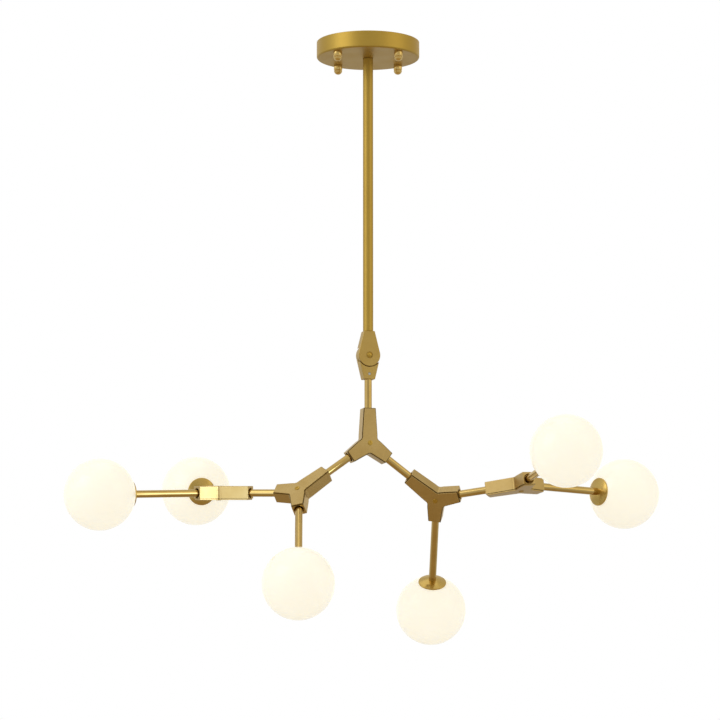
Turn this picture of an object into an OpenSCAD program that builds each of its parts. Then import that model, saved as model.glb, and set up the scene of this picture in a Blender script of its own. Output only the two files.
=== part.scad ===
// Branch chandelier with six glass globes on swivel tee fittings.
// All sizes in millimetres. Z is up and the ceiling face is z = 0.
// The stem is the Z axis. The viewer of the front view stands at -Y.

/* [Ceiling canopy] */
// Outer diameter of the canopy cup
canopy_d = 147; // [100:1:180]
// Depth of the canopy below the ceiling
canopy_h = 24; // [16:1:40]
// Sheet thickness of the canopy
canopy_wall = 1.5; // [0.8:0.1:3]
// Outer radius of the canopy's lower edge
canopy_edge_r = 2.6; // [1.8:0.1:5]
// Gap between the bracket plate's edge and the canopy's wall
bracket_gap = 4; // [2:0.5:10]
// Thickness of the bracket plate
bracket_t = 2.5; // [1.5:0.5:4]
// Distance from the bracket plate's edge in to each canopy stud
stud_inset = 7; // [5:0.5:14]
// Diameter of a canopy stud
stud_d = 4; // [3:0.5:6]
// Diameter of a cap nut
cap_nut_d = 12.2; // [8:0.1:16]
// Full height of a cap nut
cap_nut_h = 13.4; // [9:0.1:20]
// Diameter of the circle through the ceiling screw holes
ceiling_holes_pcd = 100; // [80:1:110]
// Diameter of a ceiling screw hole
ceiling_hole_d = 5; // [4:0.5:7]
// Diameter of the supply cable's hole in the bracket
cable_hole_d = 20; // [10:1:26]

/* [Stem and knuckle] */
// Outer diameter of the stem tube
stem_d = 14.5; // [10:0.5:20]
// Distance from the ceiling to the knuckle's pivot
knuckle_drop = 454.3; // [250:0.1:1200]
// Reach of each knuckle half beyond the pivot
knuckle_reach = 34.5; // [26:0.5:45]
// Radius of the knuckle's round discs
knuckle_r = 16; // [12:0.5:22]
// Thickness of the knuckle front to back
knuckle_t = 14.5; // [10:0.5:20]
// Width of the knuckle at its top end
knuckle_top_w = 15.6; // [12:0.1:20]
// Width of the knuckle at its bottom end
knuckle_bottom_w = 16.4; // [12:0.1:20]
// Shank diameter of the pivot screw
pivot_d = 5; // [3:0.5:7]
// Head diameter of the pivot screw
pivot_head_d = 8; // [6:0.5:12]
// Diameter of the grub screw below the pivot
grub_d = 3.6; // [2.5:0.1:5]
// Distance from the knuckle's lower end up to the grub screw
grub_back = 7.5; // [4:0.5:10]

/* [Hubs] */
// Distance from the ceiling to the centre of the top hub
hub_drop = 580; // [350:0.1:1400]
// Angle between a hub's long arm and each of its short arms
arm_angle = 126; // [110:1:135]
// Reach of the long arm from the hub's centre
long_reach = 50; // [40:0.5:70]
// Reach of each short arm from the hub's centre
short_reach = 35; // [28:0.5:50]
// Thickness of a hub with its cover
hub_t = 19.5; // [18:0.5:26]
// Width of an arm at its end
arm_end_w = 17.8; // [16:0.1:22]
// Width of an arm at its root
arm_root_w = 22.8; // [20:0.1:28]
// Distance from the centre to the end of the full root width
root_reach = 12; // [9:0.5:16]
// Radius of the fillets between the arms
crotch_r = 5; // [2:0.5:8]
// Thickness of the cover plate
cover_t = 2; // [1.2:0.1:3]
// How far the cover plate's outline lies inside the housing's
cover_inset = 1.1; // [0:0.1:2]
// Diameter of the recess round a rod at an arm's end
pocket_d = 13.8; // [12:0.1:15]
// Depth of the recess round a rod
pocket_depth = 8; // [4:0.5:12]
// Shank diameter of the cover screw
cover_screw_d = 4; // [3:0.5:5]
// Head diameter of the cover screw
cover_head_d = 7; // [5:0.5:10]
// Height of the cover screw's head
cover_head_h = 1; // [0.6:0.1:3]

/* [Rods and retaining nuts] */
// Outer diameter of every rod
rod_d = 10.5; // [8:0.5:12]
// Bore of the drop rod, link rods and reach rods
rod_bore_d = 7; // [5:0.5:8]
// Bore of the six globe arms
arm_bore_d = 6; // [4:0.5:7]
// Distance between the centres of two joined hubs
link_reach = 125; // [110:1:220]
// Distance from a rod's screwed end to its hub's centre
rod_root = 14; // [12:0.5:18]
// Distance from a hub's centre to the end of the rod it turns on
rod_tip = 4.9; // [3.5:0.1:8]
// Diameter of the retaining nut on a rod's end
rod_nut_d = 14; // [12.5:0.5:15]
// Thickness of the retaining nut
rod_nut_t = 4; // [2.5:0.5:5]
// Distance from a hub's centre to the face its retaining nut bears on
nut_seat = 10; // [8:0.5:12]

/* [Branch angles] */
// Turn of the top hub about the stem
branch_turn = 17; // [-90:0.5:90]
// Turn of the left hub on its link rod
left_turn = -53.2; // [-180:0.1:180]
// Turn of the right hub on its link rod
right_turn = -45.6; // [-180:0.1:180]
// Turn of the left end hub on its reach rod
left_end_turn = 137.3; // [-180:0.1:180]
// Turn of the right end hub on its reach rod
right_end_turn = -49.3; // [-180:0.1:180]

/* [Globes and lamps] */
// Outer diameter of a globe
globe_d = 100; // [80:1:150]
// Glass thickness of a globe
globe_wall = 2.2; // [1.5:0.1:4]
// Distance from a hub's centre to the centre of its globe
globe_reach = 187; // [150:1:260]
// Diameter of a globe's mouth
mouth_d = 32; // [28:0.5:40]
// Outer diameter of a globe cup
cup_d = 40; // [36:0.5:50]
// Sheet thickness of a cup's flat middle
cup_floor_t = 1.5; // [1:0.1:3]
// Gap between a cup's outer face and the globe's rearmost glass
cup_back = 2.33; // [2:0.01:4]
// Diameter of a lamp holder's body
holder_d = 22; // [18:0.5:26]
// Distance from the globe's centre back to the holder's front face
holder_front = 24; // [18:0.5:30]
// Diameter of a capsule bulb
bulb_d = 16; // [10:0.5:20]
// Distance from the globe's centre to the bulb's tip
bulb_tip = 24; // [15:0.5:30]
// Thickness of a bulb's flat pinch
pinch_t = 6; // [3:0.5:8]
// Height of a bulb's flat pinch above the holder
pinch_h = 8; // [5:0.5:12]

/* [Fits] */
// Radial clearance of a thread or a pressed fit
thread_gap = 0.04; // [0.01:0.01:0.1]
// Radial clearance of a turning fit
turn_gap = 0.05; // [0.02:0.01:0.1]
// Clearance between faces that slide past each other
face_gap = 0.05; // [0.02:0.01:0.3]
// Gap between a cup and its globe
glass_gap = 0.3; // [0.1:0.05:1]

/* [Hidden] */
$fn = 72;
eps = 0.02;
brass_satin = [0.74, 0.60, 0.34];
brass_bright = [0.85, 0.68, 0.33];
steel = [0.66, 0.66, 0.66];
white_glass = [0.98, 0.97, 0.92];
ceramic_white = [0.93, 0.92, 0.89];
grey_plastic = [0.82, 0.82, 0.80];
capsule_glass = [0.97, 0.96, 0.90];

canopy_r = canopy_d / 2;
canopy_floor_z = -canopy_h + canopy_wall;
canopy_rim_gap = 0.3;
bracket_d = canopy_d - 2 * canopy_wall - 2 * bracket_gap;
stud_circle_r = bracket_d / 2 - stud_inset;
stud_tip_z = -canopy_h - cap_nut_h + 4.5;
stud_head_d = 2 * stud_d;
stud_head_h = 2;
block_w = 30;
block_l = 16;
block_h = 12;
block_y = 28;
nipple_d = 10;
nipple_bore_d = 7;
nipple_up = 10;
nipple_down = 12;
locknut_w = 14;
locknut_h = 4;
stem_bore_d = nipple_d + 2 * thread_gap;
stem_top_z = -canopy_h;
stem_len = knuckle_drop - knuckle_reach - canopy_h;
shoulder_r = knuckle_r + 1.2;
grub_drop = knuckle_reach - grub_back;
wire_ring_in = 6;
wire_ring_out = 11;
wire_ring_depth = 2.6;
channel_d = 6;
rod_socket = 12;
pivot_head_h = 1.2;
pivot_boss_d = 12;
plate_y = -hub_t / 2;
plate_in = plate_y + cover_t;
back_wall = 3;
cavity_d = 17;
nut_room = 15.2;
nut_room_near = 2;
drop_top = knuckle_drop + knuckle_reach - rod_socket;
drop_len = hub_drop - rod_tip - drop_top;
spigot_d = 8;
spigot_len = 5.6;
cup_r = cup_d / 2;
globe_r = globe_d / 2;
mouth_r = mouth_d / 2;
neck_wall = 2.2;
neck_in = 41;
cup_face = sqrt(globe_r * globe_r - mouth_r * mouth_r) + cup_back;
cup_floor = cup_face - cup_floor_t;
cup_rim_r = 3.4;
rim_s = sqrt((globe_r + glass_gap) * (globe_r + glass_gap) - cup_r * cup_r);
flange_r = mouth_r - turn_gap;
flange_front = 43;
pin_pitch = 9;
pin_d = 1.2;
pin_len = 6;
pinch_w = bulb_d - 2;

// placing

module at_knuckle() {
  translate([0, 0, -knuckle_drop])
    rotate([0, 0, branch_turn])
      children();
}

module at_top_hub() {
  translate([0, 0, -hub_drop])
    rotate([0, 0, branch_turn])
      children();
}

module at_outlet(side) {
  rotate([0, side * arm_angle, 0])
    children();
}

module at_next_hub(side, turn) {
  at_outlet(side)
    translate([0, 0, link_reach])
      rotate([0, 180, 0])
        rotate([0, 0, turn])
          children();
}

module at_left_hub() {
  at_top_hub()
    at_next_hub(-1, left_turn)
      children();
}

module at_right_hub() {
  at_top_hub()
    at_next_hub(1, right_turn)
      children();
}

module at_left_end() {
  at_left_hub()
    at_next_hub(-1, left_end_turn)
      children();
}

module at_right_end() {
  at_right_hub()
    at_next_hub(1, right_end_turn)
      children();
}

module at_globe(side) {
  at_outlet(side)
    translate([0, 0, globe_reach])
      children();
}

module at_corners() {
  for (a = [45, 135, 225, 315])
    rotate([0, 0, a])
      translate([stud_circle_r, 0, 0])
        children();
}

// plain shapes

module pin(d, z0, z1) {
  translate([0, 0, z0])
    cylinder(d = d, h = z1 - z0);
}

module tube(d, bore, z0, z1) {
  difference() {
    pin(d, z0, z1);
    pin(bore, z0 - 1, z1 + 1);
  }
}

// a cylinder along Y from y0 to y1
module pin_y(d, y0, y1) {
  translate([0, y1, 0])
    rotate([90, 0, 0])
      cylinder(d = d, h = y1 - y0);
}

// ceiling group

module ceiling_bracket() {
  color(steel)
    difference() {
      pin(bracket_d, -bracket_t, 0);
      pin(cable_hole_d, -bracket_t - 1, 1);
      at_corners() {
        pin(stud_d + 2 * thread_gap, -bracket_t - 1, 1);
        stud_sink(thread_gap);
      }
      for (a = [0, 90, 180, 270])
        rotate([0, 0, a])
          translate([ceiling_holes_pcd / 2, 0, 0])
            pin(ceiling_hole_d, -bracket_t - 1, 1);
    }
}

// conical head of a stud, its wide end flush with the ceiling face
module stud_sink(gap) {
  translate([0, 0, -stud_head_h])
    cylinder(d1 = stud_d + 2 * gap, d2 = stud_head_d + 2 * gap, h = stud_head_h + gap * 0.5);
}

module canopy_studs() {
  color(steel)
    at_corners()
      union() {
        pin(stud_d, stud_tip_z, -0.1);
        translate([0, 0, -stud_head_h])
          cylinder(d1 = stud_d, d2 = stud_head_d - 0.2, h = stud_head_h - 0.1);
      }
}

module canopy_section() {
  in_r = canopy_edge_r - canopy_wall;
  difference() {
    union() {
      translate([0, -canopy_h + canopy_edge_r])
        square([canopy_r, canopy_h - canopy_edge_r - canopy_rim_gap]);
      translate([0, -canopy_h])
        square([canopy_r - canopy_edge_r, canopy_edge_r + eps]);
      translate([canopy_r - canopy_edge_r, -canopy_h + canopy_edge_r])
        circle(r = canopy_edge_r);
    }
    translate([-1, canopy_floor_z + in_r])
      square([canopy_r - canopy_wall + 1, canopy_h]);
    translate([-1, canopy_floor_z])
      square([canopy_r - canopy_edge_r + 1, canopy_h]);
    translate([canopy_r - canopy_edge_r, canopy_floor_z + in_r])
      circle(r = in_r);
    translate([-canopy_r, -canopy_h - 1])
      square([canopy_r, canopy_h + 2]);
  }
}

module canopy() {
  color(brass_satin)
    difference() {
      rotate_extrude()
        canopy_section();
      pin(nipple_d + 2 * thread_gap, -canopy_h - 1, canopy_floor_z + 1);
      at_corners()
        pin(stud_d + 0.4, -canopy_h - 1, canopy_floor_z + 1);
    }
}

// cap nut: plain skirt, a fine groove, then a shouldered ball end
module canopy_nuts() {
  skirt = cap_nut_h - cap_nut_d / 2;
  color(brass_bright)
    at_corners()
      translate([0, 0, -canopy_h])
        difference() {
          union() {
            pin(cap_nut_d, -skirt, 0);
            translate([0, 0, -skirt])
              sphere(d = cap_nut_d);
          }
          difference() {
            pin(cap_nut_d + 2, -skirt + 0.6, -skirt + 1.4);
            pin(cap_nut_d - 1, -skirt, -skirt + 2);
          }
          pin(stud_d + 2 * thread_gap, -cap_nut_h + 4, 1);
        }
}

module terminal_block() {
  color(grey_plastic)
    translate([0, block_y, -bracket_t])
      difference() {
        translate([-block_w / 2, -block_l / 2, -block_h])
          cube([block_w, block_l, block_h]);
        for (x = [-10, 0, 10])
          translate([x, 0, 0]) {
            translate([0, 0, -block_h / 2])
              rotate([90, 0, 0])
                cylinder(d = 4, h = block_l + 2, center = true);
            for (y = [-4, 4])
              translate([0, y, -block_h - 1])
                cylinder(d = 3.6, h = block_h / 2 + 1);
          }
      }
}

module stem_nipple() {
  color(steel)
    tube(nipple_d, nipple_bore_d, -canopy_h - nipple_down, canopy_floor_z + nipple_up);
}

module stem_locknut() {
  color(steel)
    translate([0, 0, canopy_floor_z])
      difference() {
        cylinder(d = locknut_w / cos(30), h = locknut_h, $fn = 6);
        pin(nipple_d + 2 * thread_gap, -1, locknut_h + 1);
      }
}

module stem_tube() {
  color(brass_satin)
    tube(stem_d, stem_bore_d, stem_top_z - stem_len, stem_top_z);
}

// knuckle

function tangent_pt(x, z, r) =
  let (d = norm([x, z]), a = atan2(z, x) - acos(r / d))
  [r * cos(a), r * sin(a)];

// side view of one knuckle half: a disc run out to a straight neck
module knuckle_profile(w) {
  t = tangent_pt(w / 2, knuckle_reach, knuckle_r);
  circle(r = knuckle_r);
  polygon([[-t[0], t[1]], [t[0], t[1]], [w / 2, knuckle_reach], [-w / 2, knuckle_reach]]);
}

// one half, its neck at +Z and its disc in front (-Y)
module knuckle_half(w) {
  difference() {
    rotate([90, 0, 0])
      translate([0, 0, -knuckle_t / 2])
        linear_extrude(height = knuckle_t)
          knuckle_profile(w);
    pin_y(2 * shoulder_r, -face_gap / 2, knuckle_t / 2 + 1);
    translate([-knuckle_r - 1, -face_gap / 2, -knuckle_r - 1])
      cube([2 * knuckle_r + 2, knuckle_t, knuckle_r + 1]);
    difference() {
      pin_y(2 * wire_ring_out, -wire_ring_depth, 1);
      pin_y(2 * wire_ring_in, -wire_ring_depth - 1, 2);
    }
    pin(channel_d, wire_ring_in + 1, knuckle_reach + 1);
  }
}

module knuckle_upper() {
  color(brass_satin)
    at_knuckle()
      difference() {
        union() {
          knuckle_half(knuckle_top_w);
          tube(nipple_d, channel_d, knuckle_reach - eps, knuckle_reach + nipple_down);
        }
        pin_y(pivot_d + 2 * turn_gap, -knuckle_t, knuckle_t);
      }
}

module knuckle_lower() {
  color(brass_satin)
    at_knuckle()
      difference() {
        rotate([180, 0, 0])
          knuckle_half(knuckle_bottom_w);
        pin_y(pivot_d + 2 * thread_gap, -knuckle_t, knuckle_t);
        pin(rod_d + 2 * thread_gap, -knuckle_reach - 1, -knuckle_reach + rod_socket);
        translate([0, 0, -grub_drop])
          pin_y(grub_d + 2 * thread_gap, -knuckle_t, 0);
      }
}

// shoulder screw: turns in the front disc and is screwed into the rear one
module knuckle_screw() {
  color(brass_bright)
    at_knuckle()
      difference() {
        union() {
          pin_y(pivot_d, -knuckle_t / 2 - 0.5, knuckle_t / 2);
          pin_y(pivot_head_d, -knuckle_t / 2 - face_gap - pivot_head_h, -knuckle_t / 2 - face_gap);
        }
        translate([-0.5, -knuckle_t / 2 - pivot_head_h - 1, -pivot_head_d])
          cube([1, 1.7, 2 * pivot_head_d]);
      }
}

module knuckle_grub_screw() {
  color(steel)
    at_knuckle()
      translate([0, 0, -grub_drop])
        difference() {
          pin_y(grub_d, -knuckle_t / 2 + 0.3, -rod_d / 2);
          pin_y(grub_d * 0.5, -knuckle_t, -knuckle_t / 2 + 1);
        }
}

module drop_rod() {
  color(brass_bright)
    tube(rod_d, rod_bore_d, -drop_top - drop_len, -drop_top);
}

// round nut on the end of the rod a hub turns on, in that hub's frame
module retaining_nut() {
  top = nut_seat - face_gap;
  tube(rod_nut_d, rod_d + 2 * thread_gap, top - rod_nut_t, top);
}

module drop_rod_nut() {
  color(steel)
    at_top_hub()
      retaining_nut();
}

// hub: side view, long arm at +Z and short arms at the arm angle on both sides

// a point of an upright arm swung by the angle a towards +X
function swung(p, a) = [p[0] * cos(a) + p[1] * sin(a), p[1] * cos(a) - p[0] * sin(a)];

// how far along two arms that open by the angle a their fillet ends
function fillet_end(a) = (arm_root_w / 2 + crotch_r) / tan(a / 2);

// how far out on the bisector the fillet's centre lies
function fillet_out(a) = (arm_root_w / 2 + crotch_r) / sin(a / 2);

// the outline lies the given inset inside the housing's own
module hub_profile(inset) {
  w = arm_root_w / 2 - inset;
  e = arm_end_w / 2 - inset;
  far = long_reach - inset;
  near = short_reach - inset;
  a = arm_angle;
  low = 360 - 2 * arm_angle;
  fillet_r = crotch_r + inset + 0.01;
  difference() {
    polygon([[-e, far], [e, far], [w, root_reach], [w, fillet_end(a)],
      swung([0, fillet_out(a)], a / 2), swung([-w, fillet_end(a)], a),
      swung([-w, root_reach], a), swung([-e, near], a),
      swung([e, near], a), swung([w, root_reach], a), swung([w, fillet_end(low)], a),
      [0, -fillet_out(low)], swung([-w, fillet_end(low)], -a),
      swung([-w, root_reach], -a), swung([-e, near], -a),
      swung([e, near], -a), swung([w, root_reach], -a), swung([w, fillet_end(a)], -a),
      swung([0, fillet_out(a)], -a / 2), [-w, fillet_end(a)], [-w, root_reach]]);
    for (t = [-a / 2, a / 2])
      translate(swung([0, fillet_out(a)], t))
        circle(r = fillet_r);
    translate([0, -fillet_out(low)])
      circle(r = fillet_r);
  }
}

// the hub's side view extruded along Y from y0 to y1
module hub_slab(y0, y1, inset) {
  translate([0, y1, 0])
    rotate([90, 0, 0])
      linear_extrude(height = y1 - y0)
        hub_profile(inset);
}

module hub_housing() {
  difference() {
    hub_slab(plate_in, hub_t / 2, 0);
    pin(pocket_d, long_reach - pocket_depth, long_reach + 1);
    pin(rod_d + 2 * turn_gap, 0, long_reach);
    for (s = [-1, 1])
      at_outlet(s) {
        pin(pocket_d, short_reach - pocket_depth, short_reach + 1);
        pin(rod_d + 2 * thread_gap, rod_root, short_reach);
        pin(rod_bore_d, 0, short_reach);
      }
    pin_y(cavity_d, plate_in - 1, hub_t / 2 - back_wall);
    translate([-nut_room / 2, plate_in - 1, nut_room_near])
      cube([nut_room, nut_room / 2 - plate_in + 1, nut_seat - nut_room_near]);
    pin_y(cover_screw_d + 2 * thread_gap, 0, hub_t / 2 - 0.8);
  }
}

module hub_cover() {
  difference() {
    hub_slab(plate_y, plate_in, cover_inset);
    pin_y(cover_screw_d + 0.3, plate_y - 1, plate_in + 1);
  }
}

module hub_screw() {
  difference() {
    union() {
      pin_y(cover_screw_d, plate_y - 0.3, hub_t / 2 - 1.2);
      pin_y(cover_head_d, plate_y - cover_head_h, plate_y);
    }
    translate([-0.5, plate_y - cover_head_h - 1, -cover_head_d])
      cube([1, 1.55, 2 * cover_head_d]);
  }
}

module top_hub_housing() {
  color(brass_satin)
    at_top_hub()
      hub_housing();
}

module top_hub_cover() {
  color(brass_satin)
    at_top_hub()
      hub_cover();
}

module top_hub_screw() {
  color(brass_bright)
    at_top_hub()
      hub_screw();
}

module left_hub_housing() {
  color(brass_satin)
    at_left_hub()
      hub_housing();
}

module left_hub_cover() {
  color(brass_satin)
    at_left_hub()
      hub_cover();
}

module left_hub_screw() {
  color(brass_bright)
    at_left_hub()
      hub_screw();
}

module right_hub_housing() {
  color(brass_satin)
    at_right_hub()
      hub_housing();
}

module right_hub_cover() {
  color(brass_satin)
    at_right_hub()
      hub_cover();
}

module right_hub_screw() {
  color(brass_bright)
    at_right_hub()
      hub_screw();
}

module left_end_housing() {
  color(brass_satin)
    at_left_end()
      hub_housing();
}

module left_end_cover() {
  color(brass_satin)
    at_left_end()
      hub_cover();
}

module left_end_screw() {
  color(brass_bright)
    at_left_end()
      hub_screw();
}

module right_end_housing() {
  color(brass_satin)
    at_right_end()
      hub_housing();
}

module right_end_cover() {
  color(brass_satin)
    at_right_end()
      hub_cover();
}

module right_end_screw() {
  color(brass_bright)
    at_right_end()
      hub_screw();
}

// a rod screwed into one hub's short arm, with the next hub turning on its far end
module link_rod() {
  tube(rod_d, rod_bore_d, rod_root, link_reach - rod_tip);
}

module left_link_rod() {
  color(brass_bright)
    at_top_hub()
      at_outlet(-1)
        link_rod();
}

module right_link_rod() {
  color(brass_bright)
    at_top_hub()
      at_outlet(1)
        link_rod();
}

module link_rod_nuts() {
  color(steel) {
    at_left_hub()
      retaining_nut();
    at_right_hub()
      retaining_nut();
  }
}

module left_reach_rod() {
  color(brass_bright)
    at_left_hub()
      at_outlet(-1)
        link_rod();
}

module left_reach_rod_nut() {
  color(steel)
    at_left_end()
      retaining_nut();
}

module right_reach_rod() {
  color(brass_bright)
    at_right_hub()
      at_outlet(1)
        link_rod();
}

module right_reach_rod_nut() {
  color(steel)
    at_right_end()
      retaining_nut();
}

// globe arm: a rod with a turned-down end that carries the cup and the lamp holder
module globe_arm() {
  shoulder = globe_reach - cup_face;
  difference() {
    union() {
      pin(rod_d, rod_root, shoulder);
      pin(spigot_d, shoulder - eps, shoulder + spigot_len);
    }
    pin(arm_bore_d, rod_root - 1, globe_reach);
  }
}

module arm_left_near() {
  color(brass_bright)
    at_left_end()
      at_outlet(-1)
        globe_arm();
}

module arm_left_far() {
  color(brass_bright)
    at_left_end()
      at_outlet(1)
        globe_arm();
}

module arm_low_left() {
  color(brass_bright)
    at_left_hub()
      at_outlet(1)
        globe_arm();
}

module arm_low_right() {
  color(brass_bright)
    at_right_hub()
      at_outlet(-1)
        globe_arm();
}

module arm_right_near() {
  color(brass_bright)
    at_right_end()
      at_outlet(1)
        globe_arm();
}

module arm_right_far() {
  color(brass_bright)
    at_right_end()
      at_outlet(-1)
        globe_arm();
}

// cup section: flat middle, rounded rim, inner face following the globe
module cup_section() {
  difference() {
    union() {
      translate([0, -cup_face])
        square([cup_r - cup_rim_r, cup_face - rim_s]);
      translate([cup_r - cup_rim_r, -cup_face + cup_rim_r])
        circle(r = cup_rim_r);
    }
    circle(r = globe_r + glass_gap, $fn = 180);
    translate([-1, -cup_floor])
      square([mouth_r + 1.2, cup_face]);
    translate([-1, -rim_s])
      square([cup_r + 2, cup_face]);
    translate([-1, -cup_face - 1])
      square([1 + spigot_d / 2 + thread_gap, cup_face]);
  }
}

// in a globe's frame: the hub is towards -Z
module cup() {
  rotate_extrude()
    cup_section();
}

module left_hub_cup() {
  color(brass_satin)
    at_left_hub()
      at_globe(1)
        cup();
}

module right_hub_cup() {
  color(brass_satin)
    at_right_hub()
      at_globe(-1)
        cup();
}

module left_end_cups() {
  color(brass_satin)
    at_left_end()
      for (s = [-1, 1])
        at_globe(s)
          cup();
}

module right_end_cups() {
  color(brass_satin)
    at_right_end()
      for (s = [-1, 1])
        at_globe(s)
          cup();
}

module lampholder() {
  difference() {
    union() {
      pin(2 * flange_r, -cup_floor, -flange_front);
      pin(holder_d, -cup_floor, -holder_front);
    }
    pin(spigot_d + 2 * thread_gap, -cup_floor - 1, -cup_face + spigot_len + 0.4);
    pin(arm_bore_d, -cup_floor - 1, -holder_front - pin_len - 2);
    for (x = [-pin_pitch / 2, pin_pitch / 2])
      translate([x, 0, 0])
        pin(pin_d + 0.6, -holder_front - pin_len - 1, -holder_front + 1);
  }
}

module left_hub_lampholder() {
  color(ceramic_white)
    at_left_hub()
      at_globe(1)
        lampholder();
}

module right_hub_lampholder() {
  color(ceramic_white)
    at_right_hub()
      at_globe(-1)
        lampholder();
}

module left_end_lampholders() {
  color(ceramic_white)
    at_left_end()
      for (s = [-1, 1])
        at_globe(s)
          lampholder();
}

module right_end_lampholders() {
  color(ceramic_white)
    at_right_end()
      for (s = [-1, 1])
        at_globe(s)
          lampholder();
}

// capsule bulb: two pins, a flat pinch and a round glass body
module bulb() {
  translate([-pinch_w / 2, -pinch_t / 2, -holder_front])
    cube([pinch_w, pinch_t, pinch_h + 1]);
  pin(bulb_d, -holder_front + pinch_h, bulb_tip - bulb_d / 2);
  translate([0, 0, bulb_tip - bulb_d / 2])
    sphere(d = bulb_d);
  for (x = [-pin_pitch / 2, pin_pitch / 2])
    translate([x, 0, 0])
      pin(pin_d, -holder_front - pin_len, -holder_front + 1);
}

module left_hub_bulb() {
  color(capsule_glass)
    at_left_hub()
      at_globe(1)
        bulb();
}

module right_hub_bulb() {
  color(capsule_glass)
    at_right_hub()
      at_globe(-1)
        bulb();
}

module left_end_bulbs() {
  color(capsule_glass)
    at_left_end()
      for (s = [-1, 1])
        at_globe(s)
          bulb();
}

module right_end_bulbs() {
  color(capsule_glass)
    at_right_end()
      for (s = [-1, 1])
        at_globe(s)
          bulb();
}

// globe section: a thin sphere with a short inner neck round its mouth
module globe_section() {
  difference() {
    union() {
      difference() {
        circle(r = globe_r, $fn = 180);
        circle(r = globe_r - globe_wall, $fn = 180);
      }
      intersection() {
        circle(r = globe_r, $fn = 180);
        translate([mouth_r, -globe_r])
          square([neck_wall, globe_r - neck_in]);
      }
    }
    translate([-globe_r - 1, -globe_r - 1])
      square([globe_r + 1, 2 * globe_r + 2]);
    translate([-1, -globe_r - 1])
      square([mouth_r + 1, globe_r - neck_in + 5]);
  }
}

module globe() {
  rotate_extrude()
    globe_section();
}

module globe_left_near() {
  color(white_glass)
    at_left_end()
      at_globe(-1)
        globe();
}

module globe_left_far() {
  color(white_glass)
    at_left_end()
      at_globe(1)
        globe();
}

module globe_low_left() {
  color(white_glass)
    at_left_hub()
      at_globe(1)
        globe();
}

module globe_low_right() {
  color(white_glass)
    at_right_hub()
      at_globe(-1)
        globe();
}

module globe_right_near() {
  color(white_glass)
    at_right_end()
      at_globe(1)
        globe();
}

module globe_right_far() {
  color(white_glass)
    at_right_end()
      at_globe(-1)
        globe();
}

ceiling_bracket();
canopy_studs();
canopy();
canopy_nuts();
terminal_block();
stem_nipple();
stem_locknut();
stem_tube();
knuckle_upper();
knuckle_lower();
knuckle_screw();
knuckle_grub_screw();
drop_rod();
drop_rod_nut();
top_hub_housing();
top_hub_cover();
top_hub_screw();
left_link_rod();
right_link_rod();
link_rod_nuts();
left_hub_housing();
left_hub_cover();
left_hub_screw();
left_reach_rod();
left_reach_rod_nut();
right_hub_housing();
right_hub_cover();
right_hub_screw();
right_reach_rod();
right_reach_rod_nut();
left_end_housing();
left_end_cover();
left_end_screw();
right_end_housing();
right_end_cover();
right_end_screw();
arm_left_near();
arm_left_far();
arm_low_left();
arm_low_right();
arm_right_near();
arm_right_far();
left_hub_cup();
right_hub_cup();
left_end_cups();
right_end_cups();
left_hub_lampholder();
right_hub_lampholder();
left_end_lampholders();
right_end_lampholders();
left_hub_bulb();
right_hub_bulb();
left_end_bulbs();
right_end_bulbs();
globe_left_near();
globe_left_far();
globe_low_left();
globe_low_right();
globe_right_near();
globe_right_far();
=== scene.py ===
"""Branch chandelier: the dressed model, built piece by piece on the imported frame."""

import math

import bmesh
import bpy
from bpy.props import FloatProperty, FloatVectorProperty, IntProperty, PointerProperty
from mathutils import Matrix, Vector


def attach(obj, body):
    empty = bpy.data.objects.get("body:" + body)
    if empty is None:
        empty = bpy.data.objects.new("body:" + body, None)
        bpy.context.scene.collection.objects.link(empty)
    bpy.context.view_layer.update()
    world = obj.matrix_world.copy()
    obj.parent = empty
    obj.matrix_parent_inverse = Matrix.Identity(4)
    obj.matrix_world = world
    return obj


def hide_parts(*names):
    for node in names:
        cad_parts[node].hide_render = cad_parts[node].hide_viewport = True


bl_info = {
    "name": "Branch Chandelier",
    "version": (1, 0, 0),
    "blender": (4, 5, 0),
    "location": "View3D > Sidebar > Chandelier",
    "description": "Builds a branch chandelier with swivel hubs and opal globes",
    "category": "Add Mesh",
}

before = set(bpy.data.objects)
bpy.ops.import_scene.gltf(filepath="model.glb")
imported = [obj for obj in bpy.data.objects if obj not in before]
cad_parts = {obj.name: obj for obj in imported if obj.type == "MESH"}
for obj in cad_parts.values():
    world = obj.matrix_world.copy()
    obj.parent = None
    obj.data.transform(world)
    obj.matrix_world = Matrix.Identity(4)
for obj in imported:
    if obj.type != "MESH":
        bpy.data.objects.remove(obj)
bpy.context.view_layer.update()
MM = 0.001
WELD = 2e-6  # points closer than this become one

# Sizes that several pieces share, in millimetres

STEM_RADIUS = 7.25
ROD_RADIUS = 5.25
ROD_BORE = 3.5
ROD_START = 14  # from a hub's centre to the rods and arms in its short arms
ROD_END = 4.9  # from a hub's centre to the rod in its long arm
EDGE_BREAK = 0.35
KNUCKLE_RADIUS = 16.0
KNUCKLE_REACH = 34.5  # from the pivot to the end of each half
HUB_FRONT, HUB_SEAM, HUB_BACK = -9.75, -7.75, 9.75
LONG_ARM, SHORT_ARM = 50.0, 35.0
GLOBE_RADIUS = 50
MOUTH_RADIUS = 16
# From the globe's centre to the solid cup's back face
CUP_BACK = math.sqrt(GLOBE_RADIUS**2 - MOUTH_RADIUS**2) + 2.33
CUP_WALL = 1.5


# Places, in metres, the same values as the frame's own

ARM_ANGLE = math.radians(126)
LINK_REACH = 0.125
GLOBE_REACH = 0.187
CANOPY_DEPTH = 0.024
KNUCKLE_DROP = 0.4543
HUB_DROP = 0.580
BRANCH_TURN = math.radians(17)
TURNS = {"left": -53.2, "right": -45.6, "left_end": 137.3, "right_end": -49.3}


def turned_to_outlet(place, side):
    return place @ Matrix.Rotation(side * ARM_ANGLE, 4, "Y")


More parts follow.
